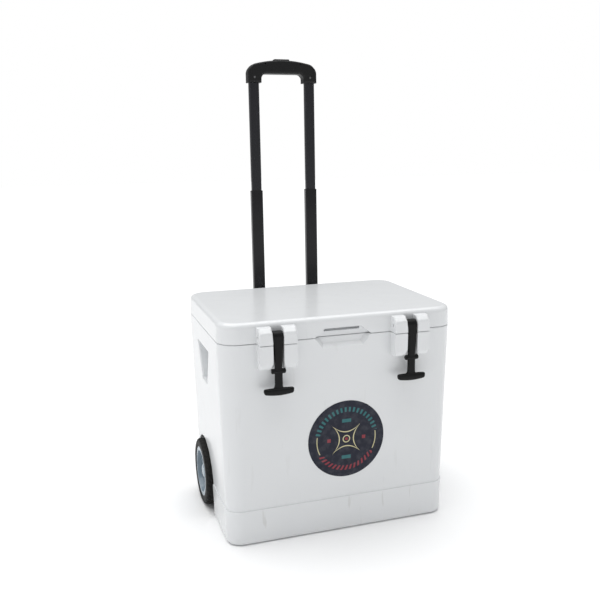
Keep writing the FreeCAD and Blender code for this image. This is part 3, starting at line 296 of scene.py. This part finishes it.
def textured_plastic(name, shade, middle_rough, scale, depth):
    """Black plastic from an etched mould, a little polished where hands rub it."""
    finish = Finish(name, Specular_IOR_Level=0.25)
    etch = finish.noise(scale, 2.0)
    rubbed = finish.noise(28, 3.0)
    black, grey = colour(shade, shade, shade * 1.06), colour(shade * 2.1, shade * 2.1, shade * 2.2)
    finish.feed("Base Color", finish.mix(rubbed * 0.5 + etch * 0.3, black, grey))
    finish.rough(middle_rough, 0.1, rubbed)
    finish.bumps((etch, depth))
    return finish.material


def printed_badge():
    """A round printed label: a four-pointed compass star between two bars, in a ring of ticks."""
    finish = Finish("printed_badge", Coat_Weight=0.05, Coat_Roughness=0.2, Specular_IOR_Level=0.25)
    centre = middle("front_badge")
    low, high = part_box("front_badge")
    radius = (high[0] - low[0]) / 2
    across, _, height = finish.axes()
    u = (across - centre.x) / radius
    v = (height - centre.z) / radius
    out = (u * u + v * v).math("SQRT")
    angle = v.math("ARCTAN2", u)
    navy, teal = colour(0.008, 0.010, 0.024), colour(0.030, 0.155, 0.165)
    coral, cream = colour(0.27, 0.035, 0.05), colour(0.72, 0.66, 0.38)
    soft = 0.012
    tick_count = 44
    ring_inner, ring_outer = 0.71, 0.83
    ticks = (angle * tick_count).math("SINE").above(0.1, 0.5)
    slant = (angle * tick_count + out * 26).math("SINE").above(0.1, 0.5)
    upper_ring = out.between(ring_inner, ring_outer, soft) * ticks * v.above(0.16, 0.01)
    lower_ring = out.between(ring_inner, ring_outer, soft) * slant * (1 - v.above(-0.40, 0.01))
    side_arcs = out.between(0.765, 0.785, soft) * v.between(-0.34, 0.12, 0.01)
    eighth_turn = 0.7071
    turned_u = abs((u + v) * eighth_turn)
    turned_v = abs((v - u) * eighth_turn)
    spread = turned_u.math("POWER", 0.5) + turned_v.math("POWER", 0.5)
    star = 1 - spread.above(0.75, 0.012)
    heart = 1 - spread.above(0.70, 0.012)
    eye = out.between(0.075, 0.098, soft)
    core = 1 - out.above(0.04, soft)
    mark, bar_place, dot_place = 0.045, 0.48, 0.46
    upper_bar = abs(v - bar_place).between(-1.0, mark, soft)
    lower_bar = abs(v + bar_place).between(-1.0, mark, soft)
    bars = abs(u).between(-1.0, 0.12, soft) * (upper_bar + lower_bar)
    dots = abs(abs(u) - dot_place).math("MAXIMUM", abs(v)).between(-1.0, mark, soft)
    print_colour = finish.mix(upper_ring, navy, teal)
    for mask, ink in ((lower_ring, coral), (side_arcs, cream), (bars.clamped(), teal), (dots, coral),
                      (star, cream), (heart, navy), (eye, cream), (core, coral)):
        print_colour = finish.mix(mask, print_colour, ink)
    faded = finish.noise(90, 4.0)
    faded_ink = colour(0.30, 0.31, 0.33)
    finish.feed("Base Color", finish.mix(faded.above(0.6, 0.3) * 0.10, print_colour, faded_ink))
    finish.rough(0.34, 0.08, faded)
    finish.bumps((finish.noise(900, 1.0), 0.00002))
    return finish.material


def floor_white():
    """A matt, almost even white."""
    finish = Finish("pale_floor", Roughness=0.95, Specular_IOR_Level=0.0)
    dim, bright = colour(0.96, 0.96, 0.96), colour(0.98, 0.98, 0.98)
    finish.feed("Base Color", finish.mix(finish.noise(3, 2.0), dim, bright))
    return finish.material


FINISHES = {
    "white_shell": moulded_white(),
    "white_liner": liner_white(),
    "insulating_foam": foam(),
    "printed_badge": printed_badge(),
    "soft_seal": rubber("soft_seal", 0.016, 0.6, 0.00005),
    "latch_rubber": rubber("latch_rubber", 0.004, 0.48, 0.00006),
    "tyre_rubber": tyre_rubber(),
    "steel_pins": bare_steel("steel_pins", 0.62, 0.3, (0.05, 1.0, 1.0)),
    "steel_screws": bare_steel("steel_screws", 0.22, 0.40, (1.0, 1.0, 1.0)),
    "hinge_metal": bare_steel("hinge_metal", 0.66, 0.32, (0.04, 1.0, 1.0)),
    "hub_plastic": hub_plastic(),
    "bush_plastic": textured_plastic("bush_plastic", 0.012, 0.42, 900, 0.00004),
    "tube_black": black_paint("black_paint", 0.003, 0.06),
    "fitting_plastic": textured_plastic("fitting_plastic", 0.006, 0.42, 900, 0.00005),
    "grip_plastic": textured_plastic("grip_plastic", 0.006, 0.46, 1300, 0.00010),
    "drain_plastic": moulded_white("drain_plastic", colour(0.74, 0.75, 0.76), 0.38),
}
INNER_TUBE = black_paint("satin_black_paint", 0.010, 0.45)
for name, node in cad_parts.items():
    for slot in node.material_slots:
        plain = FINISHES[slot.material.name.split(".")[0]]
        slot.material = INNER_TUBE if "inner_tube" in name else plain


# ------------------------------------------------------------------ surfaces worked out on a grid
def skin(points, ring=False):
    """The points and faces of a grid. The second way always wraps round. The first way wraps round
    too for a ring, and otherwise each end row is closed by a fan onto its middle."""
    rows, columns = points.shape[:2]
    index = np.arange(rows * columns).reshape(rows, columns)
    here = index if ring else index[:-1]
    below = np.roll(index, -1, axis=0) if ring else index[1:]
    next_below, next_here = np.roll(below, -1, axis=1), np.roll(here, -1, axis=1)
    faces = np.stack([here, below, next_below, next_here], axis=-1).reshape(-1, 4).tolist()
    flat = points.reshape(-1, 3)
    if not ring:
        flat = np.concatenate([flat, points[:1].mean(axis=1), points[-1:].mean(axis=1)])
        for row, tip in ((index[0], rows * columns), (index[-1], rows * columns + 1)):
            fan = np.stack([np.full(columns, tip), row, np.roll(row, -1)], axis=-1)
            faces += fan.tolist()
    return flat, faces


def piece(name, skins, finish):
    """An object of one or more closed skins, with its faces turned outwards."""
    mesh = bpy.data.meshes.new(name)
    points, faces, first = [], [], 0
    for some_points, some_faces in skins:
        points.append(some_points)
        faces += [[corner + first for corner in face] for face in some_faces]
        first += len(some_points)
    mesh.from_pydata(np.concatenate(points), [], faces)
    turned = bmesh.new()
    turned.from_mesh(mesh)
    bmesh.ops.recalc_face_normals(turned, faces=turned.faces)
    turned.to_mesh(mesh)
    turned.free()
    mesh.polygons.foreach_set("use_smooth", np.full(len(mesh.polygons), True))
    mesh.materials.append(finish)
    made = bpy.data.objects.new(name, mesh)
    bpy.context.scene.collection.objects.link(made)
    return made


LOFT_POINTS = 48


def squircle(power):
    """A rounded square about 0, as (LOFT_POINTS, 2) points: |a|^power + |b|^power = 1."""
    turn = np.linspace(0, 2 * np.pi, LOFT_POINTS, endpoint=False)
    cosine, sine = np.cos(turn), np.sin(turn)
    scale = (np.abs(cosine) ** power + np.abs(sine) ** power) ** (-1 / power)
    return np.stack([scale * cosine, scale * sine], axis=-1)


def loft(places, half_a, half_b, power, axis_a, axis_b):
    """Rounded rectangles of changing half sizes, centred on places and spread along two axes."""
    unit = squircle(power)
    a = unit[None, :, 0, None] * half_a[:, None, None] * np.asarray(axis_a, float)
    b = unit[None, :, 1, None] * half_b[:, None, None] * np.asarray(axis_b, float)
    return places[:, None, :] + a + b


def rounded_ends(length, radius, count, around):
    """Places along a bar of a length, and how much it shrinks there. With u from 0 to pi/2, an end is a
    quarter circle: it is radius * (1 - cos u) along and shrinks by radius * (1 - sin u)."""
    turn = np.linspace(0, np.pi / 2, around)
    along = np.concatenate([-length / 2 + radius * (1 - np.cos(turn)),
                            np.linspace(-length / 2 + radius, length / 2 - radius, count)[1:-1],
                            length / 2 - radius * (1 - np.cos(turn[::-1]))])
    end = radius * (1 - np.sin(turn))
    short = np.concatenate([end, np.zeros(count - 2), end[::-1]])
    return along, short


def tyre(side):
    """A ring whose section is a rounded rectangle. Over the tread the radius drops by a groove depth in
    two round grooves, and in cuts where cos(cut_count * (turn + cut_lean * |across|)) is high."""
    low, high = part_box(f"{side}_tyre")
    wheel = middle(f"{side}_tyre")
    half_width, outer = (high[0] - low[0]) / 2, (high[2] - low[2]) / 2
    inner, shoulder, lip, seat_rows = 0.055, 0.007, 0.001, 7
    corner = np.linspace(0, np.pi / 2, 9)
    flat = np.linspace(-1, 1, 61)[1:-1] * (half_width - shoulder)
    inwards = shoulder * (1 - np.cos(corner))
    fall = outer - shoulder * (1 - np.sin(corner))
    across = np.concatenate([-half_width + inwards, flat, (half_width - inwards)[::-1],
                             [half_width, half_width - lip],
                             np.linspace(0.9, -0.9, seat_rows) * half_width,
                             [-half_width + lip, -half_width]])
    radius = np.concatenate([fall, np.full(len(flat), outer), fall[::-1],
                             [inner + lip, inner], np.full(seat_rows, inner), [inner, inner + lip]])
    turn = np.linspace(0, 2 * np.pi, 288, endpoint=False)
    grid_turn, grid_across = np.meshgrid(turn, across, indexing="ij")
    grid_radius = np.broadcast_to(radius, grid_turn.shape).copy()
    cut_count, cut_lean, cut_start = 36, 9, 0.0085
    groove_place, groove_half, groove_depth = 0.0065, 0.0011, 0.0014
    from_middle = np.abs(grid_across)
    lean = grid_turn + np.sign(grid_across) * grid_across * cut_lean
    cuts = np.clip((np.cos(lean * cut_count) - 0.45) * 4, 0, 1)
    cuts *= np.clip((from_middle - cut_start) / 0.001, 0, 1)
    rounds = np.clip(1 - np.abs(from_middle - groove_place) / groove_half, 0, 1)
    treaded = np.clip((grid_radius - outer + 0.004) / 0.002, 0, 1)
    grid_radius -= groove_depth * np.maximum(cuts, rounds) * treaded
    points = np.stack([wheel.x + grid_across, wheel.y + grid_radius * np.cos(grid_turn),
                       wheel.z + grid_radius * np.sin(grid_turn)], axis=-1)
    made = piece(f"{side}_treaded_tyre", [skin(points, ring=True)], FINISHES["tyre_rubber"])
    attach(made, f"{side}_wheel")
    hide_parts(f"{side}_tyre")


def melted(made, grain):
    """Runs a piece's skins together into one, with a small fillet where they meet."""
    remesh = made.modifiers.new("join", "REMESH")
    remesh.mode = "VOXEL"
    remesh.voxel_size = grain
    remesh.use_smooth_shade = True
    soften = made.modifiers.new("soften", "SMOOTH")
    soften.factor = 0.5
    soften.iterations = 4
    whole = bpy.data.meshes.new_from_object(made.evaluated_get(bpy.context.evaluated_depsgraph_get()))
    made.modifiers.clear()
    made.data = whole
    whole.polygons.foreach_set("use_smooth", np.full(len(whole.polygons), True))


def strap(side):
    """A rubber latch, drawn about its pin in millimetres: a round eye, a strap that narrows downwards, a
    round bead that hooks under the keeper, a stem that flares at its foot, and a bar to pull. The bar's
    half height is 5.3 + 2.2 * (1 - share^2), where share runs from 0 at its middle to 1 at its ends."""
    pin = middle(f"{side}_latch_pin")
    low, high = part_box(f"{side}_latch_strap")
    foot = (low[2] - pin.z) / MM
    front = (low[1] - pin.y) / MM
    bar_length = 61
    strap_top = (high[0] - low[0]) / MM / bar_length * 10.2
    strap_foot, strap_end, strap_place, strap_half = 6.9, -62.5, -7.0, 4.5
    eye_radius, stem_half, flare = 10.9, 7.5, 4.5
    bead_length, bead_radius, bead_height = 29, 5, -67.5
    upright = ((0, 1, 0), (0, 0, 1))
    eye_along, eye_short = rounded_ends(2 * strap_top, 1.6, 12, 6)
    eye_places = np.stack([eye_along, eye_along * 0, eye_along * 0], axis=-1)
    eye = loft(eye_places, eye_radius - eye_short, eye_radius - eye_short, 2.2, *upright)
    fall = np.concatenate([np.linspace(2, -62, 40), np.linspace(-63, foot + 9, 40)])
    narrowing = np.interp(fall, [strap_end, 0], [strap_foot, strap_top])
    half = np.where(fall > strap_end, narrowing, stem_half)
    half = half + flare * np.exp(-np.abs(fall - foot - 13) / 2.6) * (fall < -80)
    belt_places = np.stack([fall * 0, np.full(len(fall), strap_place), fall], axis=-1)
    belt = loft(belt_places, half, np.full(len(fall), strap_half), 5.0, (1, 0, 0), (0, 1, 0))
    bead_along, bead_short = rounded_ends(bead_length, 2.0, 12, 6)
    bead_places = np.stack([bead_along, bead_along * 0 + strap_place, bead_along * 0 + bead_height],
                           axis=-1)
    bead = loft(bead_places, bead_radius - bead_short, bead_radius - bead_short, 2.0, *upright)
    bar_along, bar_short = rounded_ends(bar_length, 4.2, 40, 10)
    share = np.abs(bar_along) / (bar_length / 2)
    tall = 5.3 + 2.2 * (1 - share ** 2) - bar_short * 0.9
    top = foot + 15.2 - 1.0 * share ** 2
    thick = 6.2 - 1.2 * share ** 2 - bar_short * 0.9
    bar_height = top - tall - bar_short * 0.5
    bar_places = np.stack([bar_along, bar_along * 0 + front + 6.4, bar_height], axis=-1)
    bar = loft(bar_places, thick, tall, 2.8, *upright)
    skins = [skin(part * MM + np.array(pin)) for part in (eye, belt, bead, bar)]
    made = piece(f"{side}_rubber_latch", skins, FINISHES["latch_rubber"])
    melted(made, 0.0008)
    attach(made, f"{side}_latch")
    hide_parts(f"{side}_latch_strap")


def spring():
    """A wire wound round the button's axis: a circle carried along a helix, closed up at both ends."""
    low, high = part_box("button_spring")
    axis = np.array([0.0, math.sin(DRAFT), math.cos(DRAFT)])
    side_way = np.cross(axis, [1.0, 0.0, 0.0])
    centre = np.array(middle("button_spring"))
    outer = (high[0] - low[0]) / 2
    wire = 0.0004
    coils = 9
    closed = 0.11
    length = (high[2] - low[2] - 2 * outer * math.sin(DRAFT)) / math.cos(DRAFT) - 2 * wire
    share = np.linspace(0, 1, 320)
    turns = coils * 2 * np.pi * share
    open_rise = np.clip((share - closed) / (1 - 2 * closed), 0, 1) * 0.86
    end_rises = np.clip(share / closed, 0, 1) + np.clip((share - 1 + closed) / closed, 0, 1)
    rise = length * (open_rise + 0.07 * end_rises) - length / 2
    outwards = (np.cos(turns)[:, None] * np.array([1.0, 0.0, 0.0]) + np.sin(turns)[:, None] * side_way)
    path = centre + outwards * (outer - wire) + rise[:, None] * axis
    ring = np.linspace(0, 2 * np.pi, 10, endpoint=False)
    points = path[:, None, :] + wire * (np.cos(ring)[None, :, None] * outwards[:, None, :]
                                        + np.sin(ring)[None, :, None] * axis)
    made = piece("wound_spring", [skin(points)], FINISHES["steel_pins"])
    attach(made, "handle_grip")
    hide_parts("button_spring")
    foot = centre - axis * (length / 2 + wire)
    (length - 0.004) / length
    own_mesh(made)


for side in ("left", "right"):
    tyre(side)
    strap(side)
spring()


# ------------------------------------------------------------------ studio
def lamp(name, place, aim, size, power):
    """A soft square light."""
    data = bpy.data.lights.new(name, "AREA")
    data.shape = "SQUARE"
    data.size = size
    data.energy = power
    made = bpy.data.objects.new(name, data)
    made.location = place
    made.rotation_euler = (Vector(aim) - Vector(place)).to_track_quat("-Z", "Y").to_euler()
    bpy.context.scene.collection.objects.link(made)


def room():
    """White walls that light the object less than they look."""
    world = bpy.data.worlds.new("room")
    world.use_nodes = True
    nodes, links = world.node_tree.nodes, world.node_tree.links
    seen, lit = nodes["Background"], nodes.new("ShaderNodeBackground")
    seen.inputs["Strength"].default_value = 1.0
    seen.inputs["Color"].default_value = (1.0, 1.0, 1.0, 1.0)
    lit.inputs["Strength"].default_value = 0.38
    lit.inputs["Color"].default_value = (0.97, 0.985, 1.0, 1.0)
    straight, either = nodes.new("ShaderNodeLightPath"), nodes.new("ShaderNodeMixShader")
    links.new(straight.outputs["Is Camera Ray"], either.inputs[0])
    links.new(lit.outputs[0], either.inputs[1])
    links.new(seen.outputs[0], either.inputs[2])
    links.new(either.outputs[0], nodes["World Output"].inputs["Surface"])
    bpy.context.scene.world = world


def studio():
    """A pale floor, a pale room, a broad light overhead and a soft one at the left."""
    mesh = bpy.data.meshes.new("floor")
    mesh.from_pydata([(-14, -14, 0), (14, -14, 0), (14, 14, 0), (-14, 14, 0)], [], [(0, 1, 2, 3)])
    mesh.materials.append(floor_white())
    floor = bpy.data.objects.new("floor", mesh)
    bpy.context.scene.collection.objects.link(floor)
    room()
    sky = bpy.data.lights.new("skylight", "SUN")
    sky.energy = 2.6
    sky.angle = math.radians(70)
    overhead = bpy.data.objects.new("skylight", sky)
    overhead.rotation_euler = (math.radians(-6), math.radians(-4), 0)
    bpy.context.scene.collection.objects.link(overhead)
    lamp("left_window", (-3.0, -0.6, 1.5), (0, 0, 0.35), 1.6, 4)


def camera():
    """Stands in front, a little to the left and above, looking down at the object."""
    back = Vector((-0.30221, -0.93108, 0.20433)).normalized()
    right = Vector((0.95115, -0.30872, 0.0)).normalized()
    up = back.cross(right)
    roll = math.radians(-0.613)
    turned_right = right * math.cos(roll) + up * math.sin(roll)
    turned_up = up * math.cos(roll) - right * math.sin(roll)
    axes = Matrix((turned_right, turned_up, back)).transposed()
    data = bpy.data.cameras.new("camera")
    data.lens = 45.43
    data.sensor_width = 36
    made = bpy.data.objects.new("camera", data)
    made.matrix_world = Matrix.Translation((-0.532, -1.5375, 0.803)) @ axes.to_4x4()
    bpy.context.scene.collection.objects.link(made)
    bpy.context.scene.camera = made


studio()
camera()
bpy.context.scene.view_settings.view_transform = "Standard"
